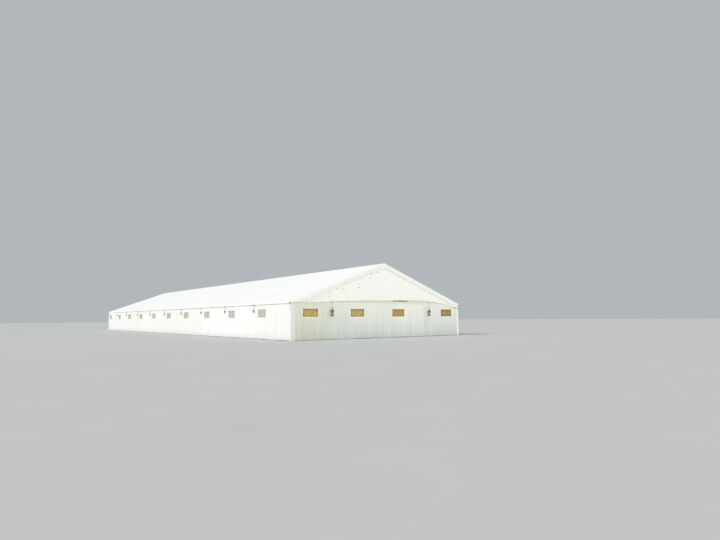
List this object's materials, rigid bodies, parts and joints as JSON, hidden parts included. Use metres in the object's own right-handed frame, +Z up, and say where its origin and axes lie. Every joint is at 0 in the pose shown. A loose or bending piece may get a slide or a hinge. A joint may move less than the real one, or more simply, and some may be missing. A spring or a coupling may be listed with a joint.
{
  "type": "clear-span marquee tent, 1:2 scale model",
  "caption": "Long clear-span marquee tent with a pitched roof in white covers, curtain walls with small windows, and dark hanging lanterns; half-size scale model.",
  "frame": {"origin": "on the ground at the middle of the plan", "axes": "+X to the right across the span, +Y along the marquee towards the rear gable, +Z up; the front gable faces -Y"},
  "size_m": [7.6752, 25.3512, 2.62],
  "materials": {
    "white_canvas": "coated white canvas, slightly glossy",
    "aluminium": "mill-finished extrusion",
    "clear_sheet": "clear flexible sheet with a warm cast",
    "dark_iron": "green-black paint"
  },
  "bodies": {
    "root": {"portal_frame_01": "aluminium", "portal_frame_02": "aluminium", "portal_frame_03": "aluminium", "portal_frame_04": "aluminium", "portal_frame_05": "aluminium", "portal_frame_06": "aluminium", "portal_frame_07": "aluminium", "portal_frame_08": "aluminium", "portal_frame_09": "aluminium", "portal_frame_10": "aluminium", "portal_frame_11": "aluminium", "ridge_beam": "aluminium", "left_purlin": "aluminium", "right_purlin": "aluminium", "left_eave_beam": "aluminium", "right_eave_beam": "aluminium", "roof_cover_01": "white_canvas", "roof_cover_02": "white_canvas", "roof_cover_03": "white_canvas", "roof_cover_04": "white_canvas", "roof_cover_05": "white_canvas", "roof_cover_06": "white_canvas", "roof_cover_07": "white_canvas", "roof_cover_08": "white_canvas", "roof_cover_09": "white_canvas", "roof_cover_10": "white_canvas", "left_side_wall": "white_canvas", "right_side_wall": "white_canvas", "left_window_sheet": "clear_sheet", "right_window_sheet": "clear_sheet", "front_gable_frame": "aluminium", "front_gable_panel": "white_canvas", "front_wall_panel_1": "white_canvas", "front_wall_panel_2": "white_canvas", "front_wall_panel_3": "white_canvas", "front_wall_panel_4": "white_canvas", "front_window_sheet": "clear_sheet", "front_lantern_left": "dark_iron", "front_lantern_right": "dark_iron", "rear_gable_frame": "aluminium", "rear_gable_panel": "white_canvas", "rear_gable_wall": "white_canvas", "rear_window_sheet": "clear_sheet", "rear_lantern_left": "dark_iron", "rear_lantern_right": "dark_iron", "left_lantern_string": "dark_iron", "right_lantern_string": "dark_iron"}
  },
  "joints": []
}
